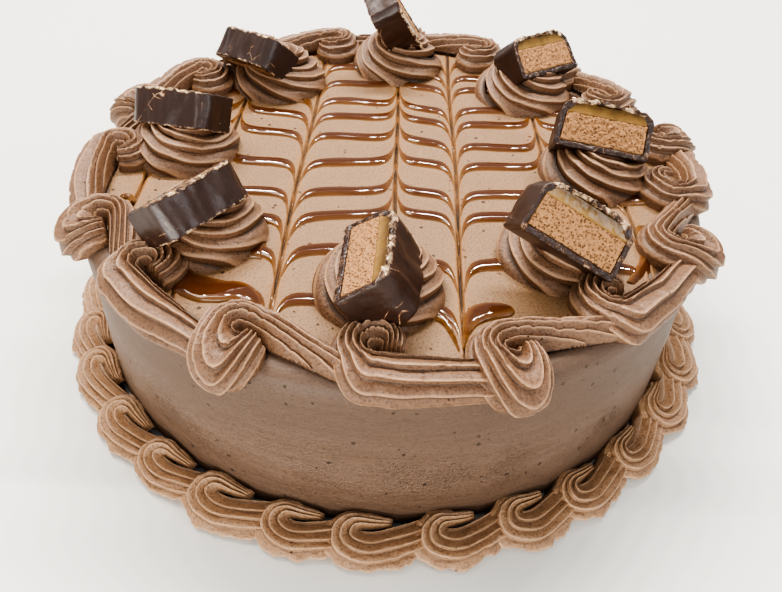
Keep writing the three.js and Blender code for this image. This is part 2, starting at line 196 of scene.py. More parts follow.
def sheet(name, columns, rows, places, material, marks=(), inside=(0, 0, -0.05)):
    """One piece of a grid for each of `places`: a function that says where its
    point (u, v) lies, and gives the values of `marks` there. `columns` and
    `rows` are counts, or the places of the lines from 0 to 1. The faces are
    turned to face away from the point `inside`."""
    lines = [np.linspace(0, 1, given) if isinstance(given, int) else np.asarray(given, float)
             for given in (columns, rows)]
    shape = bmesh.new()
    layers = [shape.verts.layers.float.new(mark) for mark in marks]
    for place in places if isinstance(places, list) else [places]:
        grid = bmesh.ops.create_grid(
            shape, x_segments=len(lines[0]) - 1, y_segments=len(lines[1]) - 1, size=0.5)["verts"]
        flat = np.array([vertex.co[:2] for vertex in grid]) + 0.5
        step = [np.rint(flat[:, way] * (len(lines[way]) - 1)).astype(int) for way in (0, 1)]
        spots, *values = place(lines[0][step[0]], lines[1][step[1]])
        for vertex, spot in zip(grid, spots):
            vertex.co = spot
        for layer, value in zip(layers, values):
            for vertex, amount in zip(grid, value):
                vertex[layer] = amount
        faces = list({face for vertex in grid for face in vertex.link_faces})
        facing = 0
        for face in faces:
            face.normal_update()
            facing += face.calc_area() * face.normal.dot(
                face.calc_center_median() - Vector(inside))
        if facing < 0:
            bmesh.ops.reverse_faces(shape, faces=faces)
    bmesh.ops.remove_doubles(shape, verts=shape.verts[:], dist=WELD_DISTANCE)
    return finish_mesh(shape, bpy.data.meshes.new(name), name, material)


def finish_mesh(shape, mesh, name, material):
    """Turns a bmesh into a smooth piece that rides with the cake."""
    for face in shape.faces:
        face.smooth = True
    shape.to_mesh(mesh)
    shape.free()
    mesh.materials.append(material)
    piece = bpy.data.objects.new(name, mesh)
    bpy.context.collection.objects.link(piece)
    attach(piece, "root")
    return piece


smoothed_icing = buttercream(
    "buttercream_smoothed_side", "#5F4A3B", "#715A4A", "#32231A", (0.05, 0.05), roughness=0.4)

MOIST_HEIGHT = 0.024  # the middle of the band that glistens


def shade_and_soften_side(material):
    """The side gets painted shade: it is darker towards its top edge, under the overhanging scrolls, and
    at its foot, under the shells. Its lower half has soft uneven patches that are smoother and glisten."""
    shader = material.node_tree.nodes["Principled BSDF"]
    plain = shader.inputs["Base Color"].links[0].from_socket
    place = add_node(material, "ShaderNodeTexCoord").outputs["Object"]
    level = add_node(material, "ShaderNodeSeparateXYZ", {"Vector": place}).outputs["Z"]
    # painted shade: a ramp by height darkens the side under the scrolls and at the foot
    painted_shade_ramp = add_node(material, "ShaderNodeValToRGB", {
        0: add_node(material, "ShaderNodeMapRange", {
            "Value": level, "From Max": CAKE_HEIGHT}).outputs[0]})
    for stop, amount in ((0.12, 0.35), (0.3, 0.0), (0.5, 0.05), (0.72, 0.55)):
        painted_shade_ramp.color_ramp.elements.new(stop).color = (amount, amount, amount, 1)
    painted_shade_ramp.color_ramp.elements[0].color = (0.75, 0.75, 0.75, 1)
    painted_shade_ramp.color_ramp.elements[-1].color = (0.6, 0.6, 0.6, 1)
    colour = add_node(material, "ShaderNodeMix", {
        0: painted_shade_ramp.outputs[0], 6: plain, 7: linear("#4F3C2E")}, data_type="RGBA")
    moist = add_node(material, "ShaderNodeTexNoise", {"Vector": place, "Scale": 38, "Detail": 3})
    moist = add_node(material, "ShaderNodeMath", {
        0: add_node(material, "ShaderNodeMapRange", {
            "Value": moist.outputs[0], "From Min": 0.40, "From Max": 0.60}).outputs[0],
        1: add_node(material, "ShaderNodeMapRange", {
            "Value": add_node(material, "ShaderNodeMath", {
                0: add_node(material, "ShaderNodeMath", {
                    0: level, 1: -MOIST_HEIGHT}).outputs[0]}, operation="ABSOLUTE").outputs[0],
            "From Min": 0.016, "From Max": 0.004}).outputs[0]},
        operation="MULTIPLY")
    rough = add_node(material, "ShaderNodeMapRange", {
        "Value": moist.outputs[0], "To Min": 0.52, "To Max": 0.22})
    material.node_tree.links.new(rough.outputs[0], shader.inputs["Roughness"])
    # sugar grains of 0.5 mm stand out there
    sugar = add_node(material, "ShaderNodeTexNoise", {"Vector": place, "Scale": 1900, "Detail": 2})
    relief = add_node(material, "ShaderNodeBump", {
        "Height": add_node(material, "ShaderNodeMath", {
            0: sugar.outputs[0], 1: moist.outputs[0]}, operation="MULTIPLY").outputs[0],
        "Normal": shader.inputs["Normal"].links[0].from_socket,
        "Strength": 0.8, "Distance": 0.0008})
    material.node_tree.links.new(relief.outputs[0], shader.inputs["Normal"])
    material.node_tree.links.new(colour.outputs[2], shader.inputs["Base Color"])


shade_and_soften_side(smoothed_icing)


def place_side(u, v):
    """From under the top, over the rounded edge, down the side and in below."""
    turn = 2 * math.pi * u
    knots = np.array([0, 0.14, 0.17, 0.20, 0.23, 0.26, 0.94, 0.96, 1.0])
    corner = np.radians([90, 67.5, 45, 22.5, 0])
    radii = np.concatenate([
        [TUCK_RADIUS], CAKE_RADIUS - EDGE_ROUNDING * (1 - np.cos(corner)),
        [CAKE_RADIUS, CAKE_RADIUS - FOOT_ROUNDING, 0]])
    heights = np.concatenate([
        [CAKE_HEIGHT - TUCK_DEPTH], CAKE_HEIGHT - EDGE_ROUNDING * (1 - np.sin(corner)),
        [FOOT_ROUNDING, 0.0, 0.0]])
    radius, height = np.interp(v, knots, radii), np.interp(v, knots, heights)
    spots = np.stack([radius * np.cos(turn), radius * np.sin(turn), height], 1)
    on_side = np.clip((v - 0.2) / 0.06, 0, 1) * np.clip((0.97 - v) / 0.02, 0, 1)
    swell = SIDE_WAVES * wavy(spots * [1, 1, 2.2], 0.045, 3) * on_side
    level = spots * [0.12, 0.12, 1]
    swell += SIDE_STREAKS * wavy(level, 0.0035, 5) * on_side
    spots[:, :2] *= (1 + swell / CAKE_RADIUS)[:, None]
    return (spots,)


cake_side = sheet(
    "icing_side", 361,
    np.concatenate([np.linspace(0, 0.14, 8), np.linspace(0.15, 0.26, 9), np.linspace(0.27, 1, 58)]),
    place_side, smoothed_icing)
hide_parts("cake_body")

# ------------------------------------------------------------- feathered top
# The top is flooded with icing and crossed with poured stripes of caramel. A
# knife was then drawn through them, to the back and to the front by turns. It
# cut thin grooves and dragged each stripe into a row of arches.

# Each groove: where it crosses, which way it pulls (1 is to the back), how far.
GROOVES = [(-0.0820, -1, 0.018), (-0.0585, 1, 0.013), (-0.0314, -1, 0.019), (0.0008, 1, 0.013),
           (0.0212, -1, 0.020), (0.0527, 1, 0.013), (0.0765, -1, 0.018)]
# The middle of each stripe, in millimetres, at eight places across the cake,
# after the places where the stripe starts and stops.
STRIPE_ACROSS = [-0.095, -0.070, -0.044, -0.016, 0.011, 0.035, 0.064, 0.095]
STRIPES = [
    (-60, 60, [89, 88.5, 88, 88, 84, 84.5, 84, 83]),
    (-75, 75, [76, 76, 75.5, 75, 71, 69.3, 69, 69]),
    (-80, 82, [63, 62, 60.5, 60, 59, 59, 58, 57]),
    (-86, 88, [48, 47, 45.2, 44.8, 40.6, 42.1, 42, 41]),
    (-88, 80, [34, 33.5, 32.6, 32.4, 31.3, 30.5, 30, 30]),
    (-90, 84, [19, 18.5, 18.1, 17.3, 15.8, 14.1, 13, 12]),
    (-90, 72, [-3, -3, -2.4, -0.4, 1.4, 1.1, 1, 0]),
    (-59, 76, [-24, -23, -20.4, -18.5, -17, -16.3, -15, -14]),
    (-66, 78, [-40, -39, -35.6, -31.8, -29.6, -28.8, -29, -30]),
    (-56, 74, [-57, -56, -51.8, -49, -54, -52.6, -52, -51]),
    (-54, 20.6, [-74, -72, -69.5, -72.2, -73, -76.5, -74, -70]),
]
STRIPE_HALF, STRIPE_RISE, STRIPE_END = 0.0027, 0.00115, 0.002  # half its width, height, end
TOP_RADIUS = 0.0965
GROOVE_DEPTH, GROOVE_HALF, GROOVE_LIP = 0.0013, 0.00045, 0.00022
BROAD_DRAG, BROAD_FADE, CLOSE_FADE = 0.0062, 0.0031, 0.0010


def drag(x):
    """How far the icing at x was pulled along: broadly, and more close to a groove."""
    pulled = np.zeros_like(x)
    for groove, way, reach in GROOVES:
        away = np.abs(x - groove)
        broad, close = np.exp(-away / BROAD_FADE), np.exp(-away / CLOSE_FADE)
        pulled += way * (BROAD_DRAG * broad + reach * close)
    return pulled


def from_groove(x):
    return np.min([np.abs(x - groove) for groove, _, _ in GROOVES], axis=0)


def feathered(x, y):
    """Moves a point of the flooded top to where the knife left it."""
    x = np.asarray(x, float)
    wander = 0.0004 * np.sin(y / 0.019 + 40 * x) - 0.02 * y * np.exp(-((x - 0.0008) / 0.01) ** 2)
    return x + wander, y + drag(x)


def across_lines():
    """Places across the top: close together at each groove, wide between."""
    near = [0, 0.0002, 0.00042, 0.0007, 0.001, 0.0014, 0.0019, 0.0026, 0.0035, 0.0047, 0.0062,
            0.008]
    half, cleared = 0.0991, 0.0092
    places = {-0.099, 0.099, *np.arange(-0.096, 0.0965, 0.003)}
    for groove, _, _ in GROOVES:
        places = {x for x in places if abs(x - groove) > cleared}
        places |= {groove + side * away for away in near for side in (-1, 1)}
    ordered = np.array(sorted(x for x in places if abs(x) < half))
    return ordered[np.concatenate([[True], np.diff(ordered) > 1e-5])]


ACROSS = across_lines()
feather_icing = buttercream(
    "buttercream_flooded_top", "#7E6043", "#8E6F50", "#432C1A", (1, 1))


def tint_feathers(material):
    """Beside each groove the icing took up caramel; the cut itself is tinted nearly black, a painted
    shade in the narrow groove.
    """
    shader = material.node_tree.nodes["Principled BSDF"]
    plain = shader.inputs["Base Color"].links[0].from_socket
    smear = add_node(material, "ShaderNodeAttribute", attribute_name="smear")
    cut = add_node(material, "ShaderNodeAttribute", attribute_name="cut")
    colour = add_node(material, "ShaderNodeMix", {
        0: smear.outputs["Fac"], 6: plain, 7: linear("#94673A")}, data_type="RGBA")
    # painted shade along the bottom of each groove
    colour = add_node(material, "ShaderNodeMix", {
        0: cut.outputs["Fac"], 6: colour.outputs[2], 7: linear("#1E130C")}, data_type="RGBA")
    material.node_tree.links.new(colour.outputs[2], shader.inputs["Base Color"])


tint_feathers(feather_icing)


def place_top(u, v):
    x = ACROSS[np.rint(u * (len(ACROSS) - 1)).astype(int)]
    away = from_groove(x)
    moved_x, moved_y = feathered(x, -0.13 + 0.26 * v)
    spots = np.stack([moved_x, moved_y, np.full_like(moved_x, CAKE_HEIGHT)], 1)
    depth = 0.7 + 0.35 * wavy(spots * [3, 1, 1], 0.02, 8)
    spots[:, 2] -= GROOVE_DEPTH * depth * np.exp(-(away / GROOVE_HALF) ** 2)
    spots[:, 2] += GROOVE_LIP * np.exp(-((away - 0.0011) / 0.00045) ** 2)
    spots[:, 2] += 0.00010 * wavy(spots, 0.009, 4)
    radius = np.hypot(moved_x, moved_y)
    spots[:, 2] -= 0.0013 * np.clip((radius - 0.0925) / 0.004, 0, 1) ** 1.5
    shrink = np.minimum(1, TOP_RADIUS / np.maximum(radius, 1e-6))
    spots[:, :2] *= shrink[:, None]
    smear = np.exp(-(away / 0.0019) ** 2) * (0.62 + 0.4 * wavy(spots * [1, 0.4, 1], 0.006, 9))
    # where the painted groove shade lies
    cut = np.exp(-(away / 0.00055) ** 2) * np.clip(0.95 + 0.6 * wavy(spots, 0.011, 12), 0, 1)
    return spots, np.clip(smear, 0, 0.9), np.clip(cut, 0, 1)


icing_top = sheet(
    "icing_top", np.linspace(0, 1, len(ACROSS)), 201, place_top, feather_icing,
    ("smear", "cut"))


# ------------------------------------------------------------ caramel stripes
# Soft caramel sauce, poured in stripes over the icing before the knife went
# through. It stands a millimetre proud in the middle of a stripe, is dark
# where it is deep and amber at its thin edges, and shines.

CARAMEL_REACH = 0.0955  # it ends this far from the cake's axis

caramel_sauce, caramel_shader = new_material("caramel_sauce", 0.06, 0.5)
caramel_shader.inputs["IOR"].default_value = 1.47
caramel_place = add_node(caramel_sauce, "ShaderNodeTexCoord").outputs["Object"]
caramel_deep = add_node(caramel_sauce, "ShaderNodeAttribute", attribute_name="deep")
# sauce that was folded over itself while it flowed, in bands 2 mm apart
caramel_folds = add_node(caramel_sauce, "ShaderNodeTexNoise", {
    "Vector": add_node(caramel_sauce, "ShaderNodeMapping", {
        "Vector": caramel_place, "Scale": (0.12, 1, 1)}).outputs[0],
    "Scale": 480, "Detail": 2, "Distortion": 0.4})
caramel_ramp = add_node(caramel_sauce, "ShaderNodeValToRGB", {0: caramel_deep.outputs["Fac"]})
caramel_ramp.color_ramp.elements[0].color = linear("#8E6A45")
caramel_ramp.color_ramp.elements[1].color = linear("#4B2A16")
caramel_ramp.color_ramp.elements[1].position = 0.95
caramel_ramp.color_ramp.elements.new(0.45).color = linear("#694423")
caramel_colour = add_node(caramel_sauce, "ShaderNodeMix", {
    0: add_node(caramel_sauce, "ShaderNodeMapRange", {
        "Value": caramel_folds.outputs[0], "From Min": 0.45, "From Max": 0.7,
        "To Max": 0.45}).outputs[0],
    6: caramel_ramp.outputs[0], 7: linear("#46210E")}, data_type="RGBA")
caramel_sauce.node_tree.links.new(
    caramel_colour.outputs[2], caramel_shader.inputs["Base Color"])


def place_stripe(start, stop, middles):
    def place(u, v):
        x = ACROSS[np.rint(u * (len(ACROSS) - 1)).astype(int)]
        x = np.clip(x, start / 1000, stop / 1000)
        end = rounded(np.minimum(x - start / 1000, stop / 1000 - x) / STRIPE_END)
        side = 2.3 * v - 1.15
        middle = np.interp(x, STRIPE_ACROSS, np.array(middles) / 1000)
        swell = 1 + 0.16 * wavy(np.stack([x, middle, 0 * x], 1), 0.014, 21)
        moved_x, moved_y = feathered(x, middle + side * STRIPE_HALF * swell * end)
        away = from_groove(x)
        slope = (drag(x + 1e-5) - drag(x - 1e-5)) / 2e-5
        lean = 1 / np.sqrt(1 + slope ** 2)
        dome = np.clip(1 - side ** 2, 0, 1) ** 0.6
        rise = STRIPE_RISE * dome * lean ** 0.45 * np.clip((away - 0.0004) / 0.0012, 0, 1) * end
        # it is sunk in the icing at its edges and where it crosses a groove
        rise -= 0.0003 * (np.abs(side) > 1) + 0.0006 * (away < 0.0004)
        radius = np.hypot(moved_x, moved_y)
        rise -= 0.0022 * np.clip((radius - 0.0915) / 0.004, 0, 1)
        spots = np.stack([moved_x, moved_y, CAKE_HEIGHT + rise + 0.00005], 1)
        spots[:, :2] *= np.minimum(1, CARAMEL_REACH / np.maximum(radius, 1e-6))[:, None]
        return spots, np.clip(dome * lean ** 0.6, 0, 1)
    return place


for number, (start, stop, middles) in enumerate(STRIPES, 1):
    stripe = sheet(f"caramel_stripe_{number:02d}", len(ACROSS), 17,
                   place_stripe(start, stop, middles), caramel_sauce, ("deep",))

# Near the rim the caramel ran together in pools. Each line is a place along a
# pool: the two points of its edges there, in millimetres.
POOLS = {
    "front_left": [(-36, -48.3, -36.5, -55.6), (-39.5, -47.5, -39.6, -55.2), (-43, -47.4, -42, -55.8),
                   (-47, -49.6, -45.7, -58.6), (-51.5, -51.6, -50.2, -60.8), (-56, -53.6, -53.2, -62),
                   (-60.5, -57.5, -54.4, -62.8), (-63.5, -63, -54, -63.8), (-62.5, -69.5, -51.5, -64.3),
                   (-57.6, -73.2, -48.6, -65), (-51.5, -75.2, -45.4, -65.9), (-45.3, -75, -41.8, -65.7),
                   (-40.4, -74.4, -38.9, -66.5), (-37.2, -75, -36.6, -68.3), (-35.1, -77.5, -34.6, -71.5),
                   (-33.9, -81, -33.3, -76)],
    "front_lobe": [(19.9, -91, 19.3, -91), (20.4, -85.6, 21.5, -86.6), (20.6, -80.4, 22.7, -82.6),
                   (20.9, -76, 24.7, -79.2), (22.8, -71.9, 28.2, -76.9), (27, -69.9, 32, -76),
                   (31.8, -69.8, 34.4, -75), (34.2, -70.9, 35.4, -73.6), (35.1, -71.9, 35.5, -72.7)],
    "front_strand": [(7, -72.6, 7, -77.4), (11.4, -72.5, 10.9, -77.3), (14, -73, 13.4, -77.9),
                     (15.9, -75, 15.3, -79.4), (17.4, -78.6, 16.6, -82), (18.6, -82.6, 17.9, -85.2),
                     (19.5, -87.1, 18.9, -88.2), (19.9, -91, 19.4, -91)],
    "right": [(70, -13.6, 71, -18.6), (75, -12.8, 75.6, -19.6), (80, -10.5, 80.3, -19),
              (85, -6, 85, -18), (89.5, 1, 90, -16.8), (93, 0.4, 92.5, -16.2), (95, -2, 94, -15)],
    "lower_right": [(77.7, -30.4, 86, -30.2), (77.2, -32, 85.4, -32), (76.7, -36.4, 83.4, -37.3),
                    (76.4, -41.3, 82, -41.8), (75.2, -46.6, 81, -46.8), (73.3, -50.6, 79.4, -52),
                    (70.8, -54.9, 76.4, -55.4), (68.6, -58.4, 71.5, -60.9)],
    "left": [(-82.6, -30.9, -81.6, -30.4), (-83.2, -28.9, -81.1, -28.6), (-84.9, -28.1, -82.2, -26.3),
             (-85.2, -29.2, -84, -25.3), (-85.1, -30.5, -86.4, -25.5), (-84.6, -31.4, -87.6, -28.2),
             (-82.4, -32, -86.5, -31.6), (-79.8, -33, -84.6, -36), (-79, -38, -82.6, -41)],
}


POOL_RISE, POOL_EDGE = 0.00125, 0.0007  # its height, and how fast it is reached


def place_pool(edges):
    edges = np.array(edges) / 1000
    runs = np.append(0, np.cumsum(np.hypot(*np.diff(edges[:, :2] + edges[:, 2:], axis=0).T) / 2))

    def place(u, v):
        run = u * runs[-1]
        blur = [-0.0012, -0.0006, 0, 0.0006, 0.0012]
        near, far = [np.mean([np.stack([
            np.interp(run + shift, runs, edges[:, side + way]) for way in (0, 1)], 1)
            for shift in blur], axis=0) for side in (0, 2)]
        spots = near * (1 - v)[:, None] + far * v[:, None]
        to_edge = np.hypot(*(far - near).T) * np.minimum(v, 1 - v)
        to_edge = np.minimum(to_edge, 1.4 * np.minimum(run, runs[-1] - run))
        bulge = 1 - np.exp(-to_edge / POOL_EDGE)
        rise = POOL_RISE * bulge + 0.0001 * wavy(np.column_stack([spots, 0 * v]), 0.006, 33)
        rise -= 0.0004 * (to_edge < 0.00002)
        rise -= 0.0024 * np.clip((np.hypot(*spots.T) - 0.0905) / 0.004, 0, 1)
        return (np.column_stack([spots, CAKE_HEIGHT + rise + 0.0001]),
                np.clip(to_edge / 0.0026, 0, 1) ** 0.8)
    return place


for place_name, edges in POOLS.items():
    pool = sheet(f"caramel_pool_{place_name}", 90, 25, place_pool(edges), caramel_sauce, ("deep",))

# -------------------------------------------------------------- top scrolls
# Buttercream piped through a star tip. Each scroll turns three quarters of the
# way round its own start and runs on under the next one; by turns they curl
# outwards, hanging over the edge of the cake, and inwards.

SCROLL_PIVOTS = [
    (-152, 96.5), (-135, 94.5), (-112, 96.5), (-91, 94), (-70.5, 97), (-48.5, 93.5),
    (-26, 96.5), (-7, 94), (11, 97), (30, 94), (49, 97), (69, 93.5),
    (89, 97), (108, 94), (127, 96.5), (146, 93.5), (164, 97), (-176.5, 93)]
SCROLL_WIDTH, SCROLL_RISE, SCROLL_RIDGES, SCROLL_GROOVE = 0.0122, 0.0092, 6, 0.0022
TAIL_WIDTH, TAIL_RISE, TAIL_LENGTH = 0.0080, 0.0052, 0.036
CURL_SHARE, CURL_TURN = 0.64, 266  # of the rope's length, and in degrees

# the crest colour is a painted highlight on the ridges; the hollows get painted shade
piped_icing = buttercream(
    "buttercream_piped", "#6B4E39", "#806048", "#26160C", (1, 1), crest="#BF9A7A", roughness=0.42)


def on_icing(azimuth, reach, lift):
    """A point on the iced cake: out from the axis along the top, round the
    edge and down the side by `reach`, and `lift` away from the icing."""
    flat = CAKE_RADIUS - EDGE_ROUNDING
    turn = np.clip((reach - flat) / EDGE_ROUNDING, 0, math.pi / 2)
    drop = np.maximum(reach - flat - EDGE_ROUNDING * math.pi / 2, 0)
    radius = np.minimum(reach, flat) + (EDGE_ROUNDING + lift) * np.sin(turn)
    height = CAKE_HEIGHT - EDGE_ROUNDING + (EDGE_ROUNDING + lift) * np.cos(turn) - drop
    return np.stack([radius * np.cos(azimuth), radius * np.sin(azimuth), height], 1)


ROOT_SHARE = 0.02  # each edge of a rope is sunk in the icing


def star_ridges(count, points):
    """Lines across a rope: each ridge has `points`, closer together at its crest."""
    within = 0.5 - 0.5 * np.cos(np.pi * np.arange(points) / points)
    lines = np.append(np.concatenate([(ridge + within) / count for ridge in range(count)]), 1.0)
    return np.concatenate([[0], ROOT_SHARE + (1 - 2 * ROOT_SHARE) * lines, [1]])


def rope_line(v):
    """The place across a rope's ridges, and whether it is one of its sunk edges."""
    return np.clip((v - ROOT_SHARE) / (1 - 2 * ROOT_SHARE), 0, 1), (v < 0.001) | (v > 0.999)


def ridge_hollow(phase):
    """0 on a crest; 1 in the narrow hollow close behind it, outwards."""
    step = phase % 1.0
    return np.where(
        step < 0.1, np.sin(5 * np.pi * step), ((1 - np.maximum(step, 0.1)) / 0.9) ** 1.25)


def rope_dome(across, edge=0.34, power=0.75):
    return edge + (1 - edge) * np.sin(np.pi * np.clip(across, 0, 1)) ** power


def place_scroll(index):
    azimuth, pivot = SCROLL_PIVOTS[index]
    azimuth, pivot = math.radians(azimuth), pivot / 1000
    outward = 1 if index % 2 == 0 else -1
    following = SCROLL_PIVOTS[(index + 1) % len(SCROLL_PIVOTS)]
    span = math.radians((following[0] - SCROLL_PIVOTS[index][0]) % 360) * pivot
    tail_length = min(TAIL_LENGTH, span + 0.003)
    drift = (0.011 if outward > 0 else -0.0015) + (following[1] / 1000 - pivot) * outward

    def place(u, v):
        curl = np.clip(u / CURL_SHARE, 0, 1)
        tail = np.clip((u - CURL_SHARE) / (1 - CURL_SHARE), 0, 1)
        turn = np.radians(4 + CURL_TURN * curl)
        fill = np.sin(np.pi * np.minimum(1.35 * curl, 0.5))
        swell = 0.55 + 0.45 * fill - 0.14 * curl ** 3
        ease = tail * tail * (3 - 2 * tail)
        width = SCROLL_WIDTH * swell * (1 - ease) + TAIL_WIDTH * ease
        rise = SCROLL_RISE * swell ** 0.4 * (1 - ease) + TAIL_RISE * ease
        line, root = rope_line(v)
        gone = 0.28 * ease                # the inner ridges run out in the tail
        across = np.clip((line - gone) / (1 - gone), 0, 1)
        sway = 0.17 * uneven(u * 5, line * 2, 30 + index)
        phase = SCROLL_RIDGES * line
        hollow = np.where(across > 0, ridge_hollow(phase), 1)
        across = across + sway * across * (1 - across)
        blunt = rounded(u / 0.018)
        groove = SCROLL_GROOVE * (0.55 + 0.45 * swell) * (1 - 0.3 * ease)
        lift = rise * rope_dome(across) * blunt - groove * hollow * blunt
        lift += 0.00045 * uneven(u * 9, phase, 60 + index)
        lift += 0.00014 * uneven(u * 50, phase * 3, 75 + index)
        nicks = uneven(u * 38, np.rint(phase) * 5, 110 + index)
        lift -= 0.0011 * np.clip(nicks - 0.15, 0, 1) * (1 - hollow) ** 2
        lift = np.where(root, -0.0014, lift - 0.001 * tail ** 4)
        flare = 1 + 0.09 * uneven(u * 6, 0 * u, 90 + index) * across
        reach = 0.0003 + across * width * flare
        along = reach * np.cos(turn) + tail * tail_length
        aside = outward * (reach * np.sin(turn) + drift * tail ** 1.4)
        spots = on_icing(azimuth + along / pivot, pivot + aside, lift)
        return spots, np.where(root, 0, 1 - hollow)
    return place


for index in range(len(SCROLL_PIVOTS)):
    scroll = sheet(f"scroll_{index + 1:02d}", 170, star_ridges(SCROLL_RIDGES, 8),
                   place_scroll(index), piped_icing, ("crest",))
    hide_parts(f"top_scroll_{index + 1:02d}")

# ----------------------------------------------------------------- rosettes
# Each slice of bar leans in a rosette, one full swirl of the star tip. Its
# ridges run from the middle to the rim while they turn once round, and each
# lies over the one behind it like a folded petal.

ROSETTES = [(-91.8, 66.5), (-43, 69), (-1, 69), (48.5, 76),
            (90.5, 79), (129.5, 75.5), (177, 73), (-141.5, 71)]
ROSETTE_RADIUS, ROSETTE_RISE, ROSETTE_PETALS, ROSETTE_GROOVE = 0.0182, 0.0145, 7, 0.0024


def place_petal(index, petal):
    azimuth, distance = ROSETTES[index]
    middle = distance / 1000 * np.array([
        math.cos(math.radians(azimuth)), math.sin(math.radians(azimuth))])
    seed = 130 + 11 * index + petal

    def place(u, v):
        # from under the petal inside it, up to its crest, and steeply down
        step = np.interp(v, [0, 0.15, 0.85, 1], [-0.25, 0, 1, 1.14])
        turned = 1.24 * u
        sway = 0.45 * uneven(4 * u, 0 * u, seed, 3)
        out = turned + (step - 1 + sway) / ROSETTE_PETALS
        across = np.clip(out, 0, 1)
        over = np.clip((out - 1) / 0.05, 0, 1)
        height = np.where(step < 1, np.clip(1 - step, 0, 1) ** 1.5, (step - 1) / 0.12)
        groove = ROSETTE_GROOVE * np.clip(across / 0.2, 0, 1) * (
            0.85 + 0.3 * uneven(2 * u, 0 * u, seed + 3))
        rise = ROSETTE_RISE * rope_dome(across) * (1 - 0.35 * across ** 2)
        lift = rise - groove * height + 0.0004 * uneven(14 * u, step, seed, 3)
        lift = lift * (1 - over ** 2) - 0.0012 * over
        reach = across * ROSETTE_RADIUS * (0.97 + 0.06 * (1 - height) * across) + 0.0004 * over
        turn = math.radians(77 * index) + 2 * math.pi * (turned + petal / ROSETTE_PETALS)
        spots = np.stack([middle[0] + reach * np.cos(turn), middle[1] + reach * np.sin(turn),
                          CAKE_HEIGHT + lift], 1)
        return spots, np.clip(1 - 1.1 * height, 0, 1)
    return place


# lines across a petal, closer together over its crest
PETAL_LINES = [0, 0.15, 0.25, 0.37, 0.5, 0.63, 0.74, 0.82, 0.85, 0.89, 0.94, 1]


for index in range(len(ROSETTES)):
    petals = [place_petal(index, petal) for petal in range(ROSETTE_PETALS)]
    rosette = sheet(
        f"swirl_{index + 1:02d}", 110, PETAL_LINES, petals, piped_icing, ("crest",))
    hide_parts(f"rosette_{index + 1:02d}")

# ------------------------------------------------------------- shell border
# Thirty shells hide the foot of the cake. The star tip was held against the
# wall, squeezed till the icing fanned out and curled over, and drawn off to
# the next one, so each shell opens to its right and tucks under its neighbour.

SHELL_COUNT, SHELL_RIDGES, SHELL_LEAN, SHELL_GROOVE = 30, 4, math.radians(20), 0.0020
SHELL_OUT, SHELL_HEIGHT = 0.0045, 0.0032  # its pivot, off the wall and up
SHELL_FIRST, SHELL_SHIFT, SHELL_RESIZE = 4.5, 0.7, 0.06  # degrees, degrees, share of its size
SHELL_ARCS = 6
# The fan at eight places: its share of the rope, turn, width, rise, slide along
# the wall and drop down the slope.
SHELL_FAN = np.array([
    (0, -6, 0.0024, 0.0030, 0.0090, -0.0012), (0.16, 6, 0.0048, 0.0046, 0.001, 0),
    (0.27, 50, 0.0070, 0.0053, 0, 0), (0.38, 90, 0.0095, 0.0058, 0, 0),
    (0.48, 130, 0.0110, 0.0061, 0, 0), (0.62, 172, 0.0111, 0.0056, 0.003, 0),
    (0.80, 178, 0.0107, 0.0049, 0.010, -0.002), (1.0, 180, 0.0100, 0.0041, 0.017, -0.004)])


def repeatable(seed):
    """The same numbers between -1 and 1 as those the solids were made with."""
    state = seed
    while True:
        state = state * 16807 % 2147483647
        yield 2 * state / 2147483647 - 1


def place_shell(azimuth, size, seed):
    def place(u, v):
        blur = [-0.05, -0.025, 0, 0.025, 0.05]
        turn, width, rise, slide, drop = [
            np.mean([np.interp(u + shift, SHELL_FAN[:, 0], column) for shift in blur], axis=0)
            for column in SHELL_FAN.T[1:]]
        turn, width, rise = np.radians(turn), width * size, rise * size
        line, root = rope_line(v)
        hollow = ridge_hollow(SHELL_RIDGES * line)
        sway = 0.16 * uneven(3 * u, line * 2, seed)
        across = line ** 0.9 + sway * line * (1 - line)
        blunt = rounded(u / 0.06)
        depth = SHELL_GROOVE * (width / 0.0110) ** 0.5 * (0.9 + 0.3 * sway / 0.16)
        lift = (rise * rope_dome(across) ** (0.35 + 0.65 * across) - depth * hollow) * blunt
        lift += 0.00025 * uneven(u * 12, line * 9, seed + 5, 3)
        torn = uneven(u * 16, line * 3, seed + 7, 3) * line ** 4
        reach = 0.0004 + across * width * (1 + 0.11 * torn)
        lift = np.where(root, -0.006, lift)
        fall, along = drop - reach * np.cos(turn), slide - reach * np.sin(turn)
        down = np.array([math.cos(SHELL_LEAN), -math.sin(SHELL_LEAN)])
        radius = CAKE_RADIUS + SHELL_OUT + fall * down[0] - lift * down[1]
        height = SHELL_HEIGHT + fall * down[1] + lift * down[0]
        bearing = azimuth + along / CAKE_RADIUS
        spots = np.stack([
            radius * np.cos(bearing), radius * np.sin(bearing), np.maximum(height, 0)], 1)
        return spots, np.where(root, 0, 1 - hollow)
    return place


